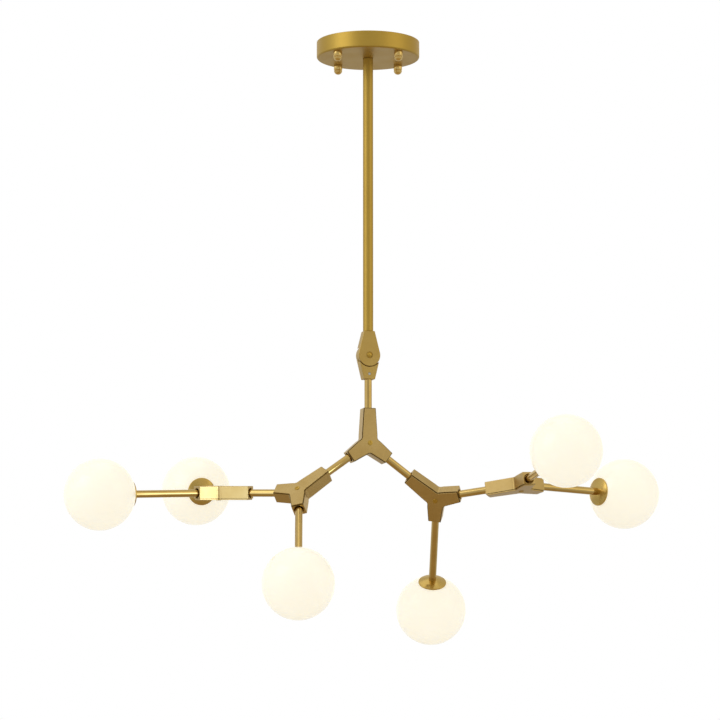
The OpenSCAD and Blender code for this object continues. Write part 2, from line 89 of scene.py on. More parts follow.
def next_hub(place, side, turn):
    rod = turned_to_outlet(place, side) @ Matrix.Translation((0, 0, LINK_REACH))
    return rod @ Matrix.Rotation(math.pi, 4, "Y") @ Matrix.Rotation(math.radians(turn), 4, "Z")


def hub_places():
    top = Matrix.Translation((0, 0, -HUB_DROP)) @ Matrix.Rotation(BRANCH_TURN, 4, "Z")
    left = next_hub(top, -1, TURNS["left"])
    right = next_hub(top, 1, TURNS["right"])
    return {
        "top_hub": top,
        "left_hub": left,
        "right_hub": right,
        "left_end": next_hub(left, -1, TURNS["left_end"]),
        "right_end": next_hub(right, 1, TURNS["right_end"]),
    }


HUBS = hub_places()
KNUCKLE = Matrix.Translation((0, 0, -KNUCKLE_DROP)) @ Matrix.Rotation(BRANCH_TURN, 4, "Z")
# Globe name: hub it belongs to, side of that hub
GLOBES = {
    "left_near": ("left_end", -1),
    "left_far": ("left_end", 1),
    "low_left": ("left_hub", 1),
    "low_right": ("right_hub", -1),
    "right_near": ("right_end", 1),
    "right_far": ("right_end", -1),
}


def globe_place(name):
    hub, side = GLOBES[name]
    return turned_to_outlet(HUBS[hub], side) @ Matrix.Translation((0, 0, GLOBE_REACH))


# Modelling helpers

# Lays a lathed piece down: its heights then run from front to back
FRONT_TO_BACK = Matrix.Rotation(-math.pi / 2, 4, "X")


def deselect():
    if bpy.context.object and bpy.context.object.mode != "OBJECT":
        bpy.ops.object.mode_set(mode="OBJECT")
    bpy.ops.object.select_all(action="DESELECT")


def make_active(obj):
    deselect()
    obj.select_set(True)
    bpy.context.view_layer.objects.active = obj


def draw_line(name, points):
    """Draws a chain of edges by extruding one point, and stays in edit mode."""
    deselect()
    bpy.ops.mesh.primitive_plane_add(size=0.01)
    obj = bpy.context.object
    obj.name = obj.data.name = name
    bpy.ops.object.mode_set(mode="EDIT")
    bpy.ops.mesh.select_mode(type="VERT")
    bpy.ops.mesh.select_all(action="SELECT")
    bpy.ops.mesh.merge(type="CENTER")
    bpy.ops.transform.translate(value=Vector(points[0]))
    here = Vector(points[0])
    for point in points[1:]:
        step = Vector(point) - here
        bpy.ops.mesh.extrude_region_move(TRANSFORM_OT_translate={"value": step})
        here = Vector(point)
    bpy.ops.mesh.select_all(action="SELECT")
    return obj


def shade(obj, angle=32):
    make_active(obj)
    bpy.ops.object.shade_smooth_by_angle(angle=math.radians(angle))


def lathe(name, profile, steps=64):
    """Spins a profile of (radius, height) in millimetres about Z.

    The profile is closed, or it starts and ends on the axis.
    """
    points = [Vector((r * MM, 0, z * MM)) for r, z in profile]
    obj = draw_line(name, points)
    bpy.ops.mesh.spin(steps=steps, angle=2 * math.pi, center=(0, 0, 0), axis=(0, 0, 1))
    bpy.ops.mesh.select_all(action="SELECT")
    bpy.ops.mesh.remove_doubles(threshold=WELD)
    bpy.ops.mesh.normals_make_consistent(inside=False)
    bpy.ops.object.mode_set(mode="OBJECT")
    write_uv(obj, "turned", on_lathe)
    return obj


def write_uv(obj, name, rule):
    """Fills a UV map of the piece's own, in metres, from the place of every corner."""
    layer = obj.data.uv_layers.get(name) or obj.data.uv_layers.new(name=name)
    for loop in obj.data.loops:
        layer.data[loop.index].uv = rule(obj.data.vertices[loop.vertex_index].co)


def on_lathe(co):
    """Radius and height on the lathe."""
    return (math.hypot(co.x, co.y), co.z)


def slab(name, outline, y0, y1):
    """Fills an outline of (x, z) in millimetres and extrudes it along Y."""
    points = [Vector((x * MM, y0 * MM, z * MM)) for x, z in outline]
    obj = draw_line(name, points + [points[0]])
    bpy.ops.mesh.remove_doubles(threshold=WELD)
    bpy.ops.mesh.select_all(action="SELECT")
    bpy.ops.mesh.edge_face_add()
    bpy.ops.mesh.extrude_region_move(TRANSFORM_OT_translate={"value": (0, (y1 - y0) * MM, 0)})
    bpy.ops.mesh.select_all(action="SELECT")
    bpy.ops.mesh.normals_make_consistent(inside=False)
    return obj


def soften_rims(obj, width, behind=None):
    """Bevels the sharp edges, or only those behind a given depth. Millimetres."""
    bpy.ops.mesh.select_all(action="DESELECT")
    bpy.ops.mesh.select_mode(type="EDGE")
    bpy.ops.mesh.edges_select_sharp(sharpness=math.radians(30))
    if behind is not None:
        mesh = bmesh.from_edit_mesh(obj.data)
        for edge in mesh.edges:
            if edge.select and all(v.co.y < behind * MM for v in edge.verts):
                edge.select = False
        bmesh.update_edit_mesh(obj.data)
    bpy.ops.mesh.bevel(
        offset=width * MM, segments=3, profile=0.5, affect="EDGES", clamp_overlap=True
    )
    bpy.ops.object.mode_set(mode="OBJECT")


def cut(obj, *tools):
    """Takes the tools out of a piece and welds the slivers that are left."""
    for tool in tools:
        make_active(obj)
        mod = obj.modifiers.new("cut", "BOOLEAN")
        mod.operation = "DIFFERENCE"
        mod.solver = "EXACT"
        mod.object = tool
        bpy.ops.object.modifier_apply(modifier=mod.name)
        discard(tool)
    bpy.ops.object.mode_set(mode="EDIT")
    bpy.ops.mesh.select_all(action="SELECT")
    bpy.ops.mesh.remove_doubles(threshold=WELD)
    bpy.ops.mesh.dissolve_degenerate(threshold=WELD)
    bpy.ops.object.mode_set(mode="OBJECT")


def weight_normals(obj):
    make_active(obj)
    mod = obj.modifiers.new("weights", "WEIGHTED_NORMAL")
    mod.keep_sharp = True
    bpy.ops.object.modifier_apply(modifier=mod.name)


def set_down(obj, place):
    """Puts a piece in its place and leaves its object at the origin."""
    make_active(obj)
    obj.matrix_world = place
    bpy.ops.object.transform_apply(location=True, rotation=True, scale=True)
    return obj


def twin(obj, name, place):
    """A copy with its own mesh, set down at another place."""
    deselect()
    other = obj.copy()
    other.data = obj.data.copy()
    other.name = other.data.name = name
    bpy.context.scene.collection.objects.link(other)
    return set_down(other, place)


def discard(obj):
    mesh = obj.data
    bpy.data.objects.remove(obj)
    bpy.data.meshes.remove(mesh)


def join(name, objs):
    deselect()
    for obj in objs:
        obj.select_set(True)
    bpy.context.view_layer.objects.active = objs[0]
    bpy.ops.object.join()
    objs[0].name = objs[0].data.name = name
    return objs[0]


def fit_out(obj, finish, body, slot, *nodes):
    """Gives a piece its finish, its body and the nodes that it stands for. The slot is not used."""
    obj.data.materials.clear()
    obj.data.materials.append(MATERIALS[finish])
    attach(obj, body)
    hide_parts(*nodes)


def arc(cx, cz, r, a0, a1, count):
    """Points on an arc, angles in degrees from +X towards +Z."""
    out = []
    for i in range(count + 1):
        a = math.radians(a0 + (a1 - a0) * i / count)
        out.append((cx + r * math.cos(a), cz + r * math.sin(a)))
    return out


def box(centre, size):
    """A block, in metres."""
    bpy.ops.mesh.primitive_cube_add(size=1, location=centre)
    obj = bpy.context.object
    obj.scale = size
    bpy.ops.object.transform_apply(location=True, rotation=True, scale=True)
    return obj


def tube(name, bore, radius, start, end, steps):
    """A tube along Z with broken outer edges."""
    step = math.copysign(EDGE_BREAK, end - start)
    profile = [(bore, start), (radius - EDGE_BREAK, start), (radius, start + step)]
    profile += [(radius, (start + end) / 2), (radius, end - step)]
    profile += [(radius - EDGE_BREAK, end), (bore, end), (bore, start)]
    obj = lathe(name, profile, steps)
    shade(obj)
    return obj


def slotted_screw(name, profile, slot_depth, slot_size):
    """A lathed screw with a driver's slot in its head, head at the lower end."""
    obj = lathe(name, profile, 40)
    cut(obj, box((0, 0, slot_depth), slot_size))
    shade(obj, 30)
    return obj


# Materials


# Every finish by its name, made by the finishes step
MATERIALS = {}


class Nodes:
    """A short way to write the node tree of a material or a world."""

    def __init__(self, block, output="OutputMaterial"):
        block.use_nodes = True
        self.block = block
        self.tree = block.node_tree
        self.tree.nodes.clear()
        self.out = self.add(output)

    def add(self, kind, **values):
        node = self.tree.nodes.new("ShaderNode" + kind)
        for key, value in values.items():
            setattr(node, key, value)
        return node

    def join(self, a, b):
        self.tree.links.new(a, b)

    def surface(self, **sockets):
        shader = self.add("BsdfPrincipled")
        for key, value in sockets.items():
            shader.inputs[key.replace("_", " ")].default_value = value
        self.join(shader.outputs[0], self.out.inputs["Surface"])
        return shader

    def place(self, scale=(1, 1, 1), uv=None):
        """Object coordinates, or the piece's own UV map when one is named."""
        if uv:
            source = self.add("UVMap", uv_map=uv).outputs["UV"]
        else:
            source = self.add("TexCoord").outputs["Object"]
        mapping = self.add("Mapping")
        mapping.inputs["Scale"].default_value = scale
        self.join(source, mapping.inputs["Vector"])
        return mapping.outputs["Vector"]

    def noise(self, vector, scale, detail=3.0, rough=0.55):
        node = self.add("TexNoise")
        node.inputs["Scale"].default_value = scale
        node.inputs["Detail"].default_value = detail
        node.inputs["Roughness"].default_value = rough
        self.join(vector, node.inputs["Vector"])
        return node.outputs["Fac"]

    def ramp(self, fac, *stops):
        node = self.add("ValToRGB")
        ramp = node.color_ramp
        while len(ramp.elements) < len(stops):
            ramp.elements.new(0.5)
        for element, (at, colour) in zip(ramp.elements, stops):
            element.position = at
            element.color = (*colour, 1)
        self.join(fac, node.inputs["Fac"])
        return node.outputs["Color"]

    def span(self, value, low, high, start=0.3, end=0.7):
        """Stretches start to end into low to high."""
        node = self.add("MapRange")
        node.inputs["From Min"].default_value = start
        node.inputs["From Max"].default_value = end
        node.inputs["To Min"].default_value = low
        node.inputs["To Max"].default_value = high
        self.join(value, node.inputs["Value"])
        return node.outputs["Result"]

    def bump(self, height, strength, distance):
        node = self.add("Bump")
        node.inputs["Strength"].default_value = strength
        node.inputs["Distance"].default_value = distance
        self.join(height, node.inputs["Height"])
        return node.outputs["Normal"]

    def mix(self, factor, a, b, blend="MIX"):
        """Mixes two colours; each value is a socket or a constant."""
        node = self.add("Mix", data_type="RGBA", blend_type=blend)
        for key, value in (("Factor", factor), ("A", a), ("B", b)):
            if isinstance(value, bpy.types.NodeSocket):
                self.join(value, node.inputs[key])
            else:
                node.inputs[key].default_value = value
        return node.outputs["Result"]

    def mix_shaders(self, factor, a, b):
        node = self.add("MixShader")
        for socket, value in zip(node.inputs, (factor, a, b)):
            self.join(value, socket)
        return node.outputs[0]

    def cover(self, shader, tone, grain, rough, strength, distance=0.0001):
        """The tone gives the colour, the grain gives the roughness and the bump."""
        self.join(tone, shader.inputs["Base Color"])
        self.join(self.span(grain, *rough), shader.inputs["Roughness"])
        self.join(self.bump(grain, strength, distance), shader.inputs["Normal"])
        return self.block


def shifted(colour, k):
    """Lighter or darker by the factor k."""
    return tuple(min(1.0, c * k) for c in colour)


def blend(one, other, k):
    return tuple(a + (b - a) * k for a, b in zip(one, other))


def warmed(colour, blue=0.86):
    return (colour[0], colour[1] * 0.96, colour[2] * blue)


def satin_brass(name, colour, rough, painted_seam_shade=False):
    """Fine sand grain over slow cloudy changes of tone.

    With the seam switch on, the ledge round a cover plate is darkened: painted shade standing in
    for the shadow in the gap at the seam. It reads the piece's depth map.
    """
    n = Nodes(bpy.data.materials.new(name))
    shader = n.surface(Metallic=1.0)
    cloud = n.noise(n.place(), 38, 4)
    tone = n.ramp(cloud, (0.32, shifted(warmed(colour), 0.94)), (0.68, shifted(colour, 1.04)))
    if painted_seam_shade:
        # Painted shade: the ledge in front of the seam is darkened to 0.38 of the colour, standing
        # in for the shadow in the gap round the cover plate.
        split = n.add("SeparateXYZ")
        n.join(n.place(uv="depth"), split.inputs[0])
        ledge, clear = -0.00768, -0.0074
        lit = n.span(split.outputs["X"], 0.0, 1.0, ledge, clear)
        tone = n.mix(lit, (*shifted(colour, 0.38), 1), tone)
    fine = n.noise(n.place(), 1700, 2)
    return n.cover(shader, tone, fine, (rough * 0.85, rough * 1.2), 0.16, 0.00012)


def drawn_brass(name, colour, rough, stretch):
    """Fine lines along the metal; a small value in stretch draws them out along that axis."""
    n = Nodes(bpy.data.materials.new(name))
    shader = n.surface(Metallic=1.0)
    lines = n.noise(n.place(scale=stretch), 1500, 3, 0.6)
    cloud = n.noise(n.place(scale=(1, 1, 0.4)), 26, 3)
    mixed = n.add("Math", operation="ADD")
    n.join(n.span(lines, 0.0, 0.5), mixed.inputs[0])
    n.join(n.span(cloud, 0.0, 0.5), mixed.inputs[1])
    low, high = shifted(warmed(colour), 0.95), shifted(colour, 1.04)
    tone = n.ramp(mixed.outputs[0], (0.1, low), (0.9, high))
    return n.cover(shader, tone, lines, (rough * 0.9, rough * 1.12), 0.05)


def turned_brass(name, colour, rough, rings):
    """Rings left by the lathe, on the piece's own turned map."""
    n = Nodes(bpy.data.materials.new(name))
    shader = n.surface(Metallic=1.0)
    split = n.add("SeparateXYZ")
    n.join(n.place(uv="turned"), split.inputs[0])
    total = n.add("Math", operation="ADD")
    n.join(split.outputs["X"], total.inputs[0])
    n.join(split.outputs["Y"], total.inputs[1])
    line = n.add("CombineXYZ")
    n.join(total.outputs[0], line.inputs["X"])
    groove = n.noise(line.outputs[0], 1900, 3, 0.7)
    cloud = n.noise(n.place(), 45, 3)
    low, high = shifted(warmed(colour, 0.88), 0.93), shifted(colour, 1.04)
    tone = n.ramp(cloud, (0.3, low), (0.7, high))
    return n.cover(shader, tone, groove, (rough * 0.8, rough * 1.25), 0.3 * rings, 0.00015)


def zinc_steel():
    """Small cloudy crystals, as on galvanised steel."""
    n = Nodes(bpy.data.materials.new("zinc steel"))
    shader = n.surface(Metallic=1.0)
    spangle = n.add("TexVoronoi")
    spangle.inputs["Scale"].default_value = 320
    n.join(n.place(), spangle.inputs["Vector"])
    low, high = (0.52, 0.53, 0.53), (0.66, 0.66, 0.64)
    tone = n.ramp(spangle.outputs["Distance"], (0.1, low), (0.9, high))
    return n.cover(shader, tone, n.noise(n.place(), 900, 3), (0.30, 0.48), 0.12)


def opal_glass(colour, glow):
    """Milky glass, faintly clouded, lit from inside."""
    n = Nodes(bpy.data.materials.new("opal glass"))
    shader = n.surface(
        IOR=1.4,
        Coat_Weight=0.1,
        Coat_Roughness=0.04,
        Subsurface_Weight=0.25,
        Subsurface_Scale=0.02,
        Emission_Strength=glow,
    )
    shader.inputs["Subsurface Radius"].default_value = (1.0, 0.8, 0.55)
    cloud = n.noise(n.place(), 16, 3)
    tone = n.ramp(cloud, (0.3, shifted(colour, 0.985)), (0.7, colour))
    n.join(tone, shader.inputs["Base Color"])
    warm = (1.0, 0.92, 0.75)
    light = n.ramp(cloud, (0.3, shifted(warm, 0.98)), (0.7, warm))
    n.join(light, shader.inputs["Emission Color"])
    fine = n.noise(n.place(), 240, 2)
    n.join(n.span(fine, 0.10, 0.17), shader.inputs["Roughness"])
    n.join(n.bump(cloud, 0.05, 0.0004), shader.inputs["Normal"])
    return n.block


def ceramic():
    """Off-white, with fine specks."""
    n = Nodes(bpy.data.materials.new("lamp holder ceramic"))
    shader = n.surface(IOR=1.5)
    speck = n.noise(n.place(), 500, 4)
    tone = n.ramp(speck, (0.3, (0.80, 0.79, 0.75)), (0.7, (0.88, 0.87, 0.84)))
    return n.cover(shader, tone, speck, (0.45, 0.65), 0.15)


def bulb_glass():
    """Partly clear glass that glows weakly."""
    n = Nodes(bpy.data.materials.new("bulb glass"))
    shader = n.surface(IOR=1.46, Transmission_Weight=0.35, Emission_Strength=0.35)
    ripple = n.noise(n.place(), 120, 2)
    tone = n.ramp(ripple, (0.3, (0.95, 0.93, 0.86)), (0.7, (0.99, 0.98, 0.93)))
    n.join(tone, shader.inputs["Emission Color"])
    return n.cover(shader, tone, ripple, (0.12, 0.3), 0.06)


def grey_plastic():
    """Matt moulded plastic."""
    n = Nodes(bpy.data.materials.new("terminal plastic"))
    shader = n.surface(IOR=1.48)
    fine = n.noise(n.place(), 1100, 3)
    tone = n.ramp(fine, (0.3, (0.66, 0.66, 0.64)), (0.7, (0.72, 0.72, 0.70)))
    return n.cover(shader, tone, fine, (0.4, 0.6), 0.2)


# Sizes and colours a user may change


def colour_setting(name, description, default):
    return FloatVectorProperty(
        name=name, description=description, subtype="COLOR", size=3, min=0, max=1, default=default
    )


class ChandelierLooks(bpy.types.PropertyGroup):
    satin: colour_setting("Satin brass", "Hubs and knuckle", (0.53, 0.383, 0.155))
    brushed: colour_setting("Brushed brass", "Stem, canopy and screws", (0.49, 0.332, 0.070))
    polished: colour_setting("Polished brass", "Rods, nuts and cups", (0.62, 0.445, 0.16))
    opal: colour_setting("Opal glass", "Globes", (0.87, 0.84, 0.73))
    glow: FloatProperty(
        name="Glow",
        description="How strongly the globes shine by themselves",
        default=0.295,
        min=0,
        max=2,
    )
    edge: FloatProperty(
        name="Edge rounding",
        description="Width of the rounded edges of hubs and knuckle",
        default=0.0007,
        min=0.0001,
        max=0.002,
        unit="LENGTH",
    )
    globe_steps: IntProperty(
        name="Globe steps",
        description="Segments round each globe",
        default=96,
        min=24,
        max=192,
    )


def looks():
    return bpy.context.scene.chandelier_looks


class CHANDELIER_OT_finishes(bpy.types.Operator):
    """Makes every finish and gives the small hidden fittings theirs"""

    bl_idname = "chandelier.finishes"
    bl_label = "Finishes"

    def execute(self, context):
        k = looks()
        satin, brushed, polished = tuple(k.satin), tuple(k.brushed), tuple(k.polished)
        MATERIALS.update(
            satin=satin_brass("satin brass", satin, 0.34),
            # The hub housing gets painted shade on the ledge round its cover plate, standing in for
            # the shadow in the seam.
            housing=satin_brass("housing brass", satin, 0.34, painted_seam_shade=True),
            knuckle=turned_brass("knuckle brass", blend(satin, brushed, 0.5), 0.36, 0.5),
            stem=drawn_brass("stem brass", brushed, 0.45, (1, 1, 0.012)),
            canopy=drawn_brass("canopy brass", brushed, 0.42, (0.02, 0.02, 1)),
            rod=turned_brass("rod brass", shifted(polished, 0.94), 0.11, 0.12),
            nut=turned_brass("nut brass", shifted(polished, 1.15), 0.08, 0.15),
            cup=turned_brass("cup brass", blend(polished, brushed, 0.5), 0.2, 0.6),
            screw=turned_brass("screw brass", shifted(brushed, 1.1), 0.3, 0.5),
            zinc=zinc_steel(),
            opal=opal_glass(tuple(k.opal), k.glow),
            ceramic=ceramic(),
            bulb=bulb_glass(),
            plastic=grey_plastic(),
        )
        zinc_nodes = (
            "ceiling_bracket",
            "canopy_studs",
            "stem_nipple",
            "stem_locknut",
            "knuckle_grub_screw",
            "drop_rod_nut",
            "link_rod_nuts",
            "left_reach_rod_nut",
            "right_reach_rod_nut",
        )
        for name in zinc_nodes:
            self.repaint(name, "zinc")
        self.repaint("terminal_block", "plastic")
        return {"FINISHED"}

    def repaint(self, name, finish):
        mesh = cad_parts[name].data
        mesh.materials.clear()
        mesh.materials.append(MATERIALS[finish])


class CHANDELIER_OT_canopy(bpy.types.Operator):
    """Canopy cup with a rounded lower edge, spun in one piece"""

    bl_idname = "chandelier.canopy"
    bl_label = "Canopy"

    def execute(self, context):
        deep = CANOPY_DEPTH / MM
        wall, edge, hole = 1.5, 2.6, 5.2
        outer = arc(70.9, -deep + edge, edge, 0, -90, 6)
        inner = arc(70.9, -deep + edge, edge - wall, -90, 0, 4)
        profile = [(73.1, -0.3), (73.5, -0.7)] + outer + [(7.6, -deep), (hole, -deep)]
        profile += [(hole, -deep + wall)] + inner + [(72.0, -0.7), (72.3, -0.3), (73.1, -0.3)]
        cup = lathe("canopy_cup", profile, 128)
        shade(cup, 25)
        weight_normals(cup)
        fit_out(cup, "canopy", "ceiling_mount", "satin_brass", "canopy")
        return {"FINISHED"}


class CHANDELIER_OT_cap_nuts(bpy.types.Operator):
    """Four cap nuts with a groove and a rounded end"""

    bl_idname = "chandelier.cap_nuts"
    bl_label = "Cap nuts"

    def execute(self, context):
        bore_end, bore, radius, circle = -8.8, 2.1, 6.1, 0.061
        profile = [(0, bore_end), (bore, bore_end), (bore, 0.0), (5.8, 0.0), (radius, -0.3)]
        profile += [(radius, -6.4), (5.9, -6.75), (5.35, -6.9), (5.2, -7.2), (5.35, -7.55)]
        profile += [(5.8, -7.8)] + arc(0, -7.3, radius, -8, -90, 12)
        nut = lathe("cap_nut", profile, 40)
        shade(nut, 30)
        nuts = []
        for i in range(4):
            a = math.radians(45 + 90 * i)
            spot = Vector((circle * math.cos(a), circle * math.sin(a), -CANOPY_DEPTH))
            nuts.append(twin(nut, "cap_nut_%d" % i, Matrix.Translation(spot)))
        discard(nut)
        nuts = join("canopy_cap_nuts", nuts)
        fit_out(nuts, "nut", "ceiling_mount", "polished_brass", "canopy_nuts")
        return {"FINISHED"}


class CHANDELIER_OT_stem(bpy.types.Operator):
    """Stem tube with broken edges at both ends"""

    bl_idname = "chandelier.stem"
    bl_label = "Stem"

    def execute(self, context):
        top = -CANOPY_DEPTH / MM
        low = -KNUCKLE_DROP / MM + KNUCKLE_REACH
        stem = tube("stem", 5.1, STEM_RADIUS, top, low, 64)
        weight_normals(stem)
        fit_out(stem, "stem", "ceiling_mount", "satin_brass", "stem_tube")
        return {"FINISHED"}


def knuckle_outline(half_width):
    """A disc that runs out into a straight neck, neck at +Z."""
    reach, r = KNUCKLE_REACH, KNUCKLE_RADIUS
    a = math.degrees(math.atan2(reach, half_width) - math.acos(r / math.hypot(half_width, reach)))
    low = arc(0, 0, r, a, -180 - a, 44)
    return [(-half_width, reach), (half_width, reach)] + low


class CHANDELIER_OT_knuckle(bpy.types.Operator):
    """Two lapped halves and the pivot screw"""

    bl_idname = "chandelier.knuckle"
    bl_label = "Knuckle"

    def half(self, name, half_width):
        """One half, cut away behind its middle plane where the other half laps it."""
        obj = slab(name, knuckle_outline(half_width), -STEM_RADIUS, STEM_RADIUS)
        soften_rims(obj, looks().edge / MM)
        lap = lathe("lap", [(0, -0.02), (17.2, -0.02), (17.2, 9), (0, 9)], 64)
        set_down(lap, FRONT_TO_BACK)
        cut(obj, lap, box((0, 0.00498, -0.009), (0.038, 0.010, 0.018)))
        return obj

    def execute(self, context):
        bore = [(0, -9), (4.7, -9), (4.7, -7.25), (4.3, -6.75), (2.7, -6.7), (2.7, 9), (0, 9)]
        front = self.half("knuckle_front_half", 7.8)
        tool = lathe("bore", bore, 40)
        cut(front, set_down(tool, FRONT_TO_BACK))
        rear = self.half("knuckle_rear_half", 8.2)
        tool = lathe("bore", [(0, -9), (2.6, -9), (2.6, 9), (0, 9)], 32)
        grub = lathe("grub", [(0, 0), (1.85, 0), (1.85, 6.6), (2.25, 7.3), (2.25, 9), (0, 9)], 24)
        socket = lathe("socket", [(0, 22.4), (5.3, 22.4), (5.3, 34.2), (5.7, 35.5), (0, 35.5)], 48)
        set_down(tool, FRONT_TO_BACK)
        set_down(grub, Matrix.Translation((0, 0, 0.027)) @ FRONT_TO_BACK)
        cut(rear, tool, grub, socket)
        for obj, place in ((front, KNUCKLE), (rear, KNUCKLE @ Matrix.Rotation(math.pi, 4, "X"))):
            write_uv(obj, "turned", round_pivot)
            shade(obj, 28)
            weight_normals(obj)
            set_down(obj, place)
        fit_out(front, "knuckle", "ceiling_mount", "satin_brass", "knuckle_upper")
        fit_out(rear, "knuckle", "drop", "satin_brass", "knuckle_lower")
        self.screw()
        return {"FINISHED"}

    def screw(self):
        head = [(0, 7.2), (2.45, 7.2), (2.5, 6.9), (2.5, -6.7), (4.2, -6.75), (4.2, -7.3)]
        head += [(3.9, -7.5), (3.6, -7.45), (3.2, -6.95), (2.75, -6.95), (2.6, -7.6)]
        head += arc(0, -4.5, 4.0, -52, -90, 5)
        slot = (0.0007, 0.0042, 0.0010)
        screw = slotted_screw("knuckle_pivot_screw", head, -0.0084, slot)
        set_down(screw, KNUCKLE @ FRONT_TO_BACK)
        fit_out(screw, "screw", "drop", "polished_brass", "knuckle_screw")


def round_pivot(co):
    """Distance from the knuckle's pivot, and depth: the turned map then shows rings."""
    return (math.hypot(co.x, co.z), co.y)


# Hubs


def swung(x, z, a):
    """A point of (x, z) turned about the origin, from +Z towards +X."""
    return (x * math.cos(a) + z * math.sin(a), z * math.cos(a) - x * math.sin(a))


def hub_outline(inset=0.0):
    """The hub seen from its cover side: long arm at +Z, short arms at the arm angle."""
    root_width, end_width, root, fillet = 11.4 - inset, 8.9 - inset, 12.0, 5.0 + inset
    a = ARM_ANGLE
    between_short = 2 * math.pi - 2 * a

    def corner(middle, opening):
        """The inside corner between two arms."""
        steps = 8
        out = (root_width + fillet) / math.sin(opening / 2)
        cx, cz = swung(0, out, middle)
        half = math.pi / 2 - opening / 2
        points = []
        for i in range(steps + 1):
            t = middle + math.pi - half + 2 * half * (steps - i) / steps
            px, pz = swung(0, fillet, t)
            points.append((cx + px, cz + pz))
        return points

    def arm(angle, reach):
        left = [swung(-root_width, root, angle), swung(-end_width, reach, angle)]
        return left + [swung(end_width, reach, angle), swung(root_width, root, angle)]

    line = arm(0, LONG_ARM - inset) + corner(a / 2, a) + arm(a, SHORT_ARM - inset)
    line += corner(math.pi, between_short) + arm(-a, SHORT_ARM - inset) + corner(-a / 2, a)
    return line


def behind_middle(co):
    """Depth behind the hub's middle plane, and distance from its centre."""
    return (co.y, math.hypot(co.x, co.z))


class CHANDELIER_OT_hubs(bpy.types.Operator):
    """Five hub bodies with their cover plates and cover screws"""

    bl_idname = "chandelier.hubs"
    bl_label = "Hubs"

    def body(self):
        obj = slab("hub_body", hub_outline(), HUB_SEAM, HUB_BACK)
        soften_rims(obj, looks().edge / MM, behind=HUB_SEAM + 0.05)
        inlet = [(0, 1.5), (7.7, 1.5), (7.7, 10), (5.36, 10), (5.36, 42), (6.9, 42)]
        inlet += [(6.9, 49.5), (7.5, 50.1), (7.5, 51), (0, 51)]
        outlet = [(0, 13.8), (5.31, 13.8), (5.31, 27), (6.9, 27), (6.9, 34.5), (7.5, 35.1)]
        outlet += [(7.5, 36), (0, 36)]
        tools = [lathe("inlet", inlet, 48)]
        for side in (-1, 1):
            tool = lathe("outlet", outlet, 48)
            tools.append(set_down(tool, Matrix.Rotation(side * ARM_ANGLE, 4, "Y")))
        shaft = lathe("shaft", [(0, -9), (2.1, -9), (2.1, 9), (0, 9)], 24)
        tools.append(set_down(shaft, FRONT_TO_BACK))
        cut(obj, *tools)
        write_uv(obj, "depth", behind_middle)
        shade(obj, 28)
        weight_normals(obj)
        return obj

    def plate(self):
        obj = slab("hub_plate", hub_outline(1.1), HUB_FRONT, HUB_SEAM + 0.01)
        soften_rims(obj, 0.5)
        hole = lathe("hole", [(0, -12), (2.2, -12), (2.2, 0), (0, 0)], 24)
        cut(obj, set_down(hole, FRONT_TO_BACK))
        write_uv(obj, "depth", behind_middle)
        shade(obj, 28)
        weight_normals(obj)
        return obj

    def screw(self):
        profile = [(0, 8.5), (1.95, 8.5), (1.95, HUB_FRONT), (3.4, HUB_FRONT)]
        profile += [(3.5, HUB_FRONT - 0.1), (3.5, -10.2)]
        profile += [(3.3, -10.4), (2.7, -10.5), (1.3, -10.55), (1.15, -10.1), (0, -10.05)]
        obj = slotted_screw("hub_screw", profile, -0.0106, (0.0009, 0.0054, 0.0011))
        return set_down(obj, FRONT_TO_BACK)

    def execute(self, context):
        body, plate, screw = self.body(), self.plate(), self.screw()
        for hub, place in HUBS.items():
            piece = twin(body, hub + "_body", place)
            fit_out(piece, "housing", hub, "satin_brass", hub + "_housing")
            piece = twin(plate, hub + "_plate", place)
            fit_out(piece, "satin", hub, "satin_brass", hub + "_cover")
            piece = twin(screw, hub + "_plate_screw", place)
            fit_out(piece, "screw", hub, "polished_brass", hub + "_screw")
        for obj in (body, plate, screw):
            discard(obj)
        return {"FINISHED"}


class CHANDELIER_OT_rods(bpy.types.Operator):
    """Drop rod, link rods, reach rods and globe arms"""

    bl_idname = "chandelier.rods"
    bl_label = "Rods"

    def globe_arm(self):
        """The arm with its thinner end, which goes into the lamp holder."""
        end, neck_radius = GLOBE_REACH / MM - 49.7, 4.0
        profile = [(3.0, ROD_START), (4.9, ROD_START), (ROD_RADIUS, ROD_START + EDGE_BREAK)]
        profile += [(ROD_RADIUS, 75), (ROD_RADIUS, end - 0.3), (4.95, end), (neck_radius, end)]
        profile += [(neck_radius, end + 5.3), (3.7, end + 5.6), (3.0, end + 5.6), (3.0, ROD_START)]
        obj = lathe("globe_arm", profile, 48)
        shade(obj)
        return obj

    def execute(self, context):
        low, top = -(HUB_DROP / MM) + ROD_END, -(KNUCKLE_DROP / MM) - 22.5
        drop = tube("drop_tube", ROD_BORE, ROD_RADIUS, low, top, 48)
        fit_out(drop, "rod", "drop", "polished_brass", "drop_rod")
        link = tube("link", ROD_BORE, ROD_RADIUS, ROD_START, LINK_REACH / MM - ROD_END, 48)
        spots = (
            ("left_link", "top_hub", -1),
            ("right_link", "top_hub", 1),
            ("left_reach", "left_hub", -1),
            ("right_reach", "right_hub", 1),
        )
        for name, hub, side in spots:
            piece = twin(link, name + "_tube", turned_to_outlet(HUBS[hub], side))
            fit_out(piece, "rod", hub, "polished_brass", name + "_rod")
        discard(link)
        arm = self.globe_arm()
        for name, (hub, side) in GLOBES.items():
            piece = twin(arm, name + "_arm_tube", turned_to_outlet(HUBS[hub], side))
            fit_out(piece, "rod", hub, "polished_brass", "arm_" + name)
        discard(arm)
        return {"FINISHED"}


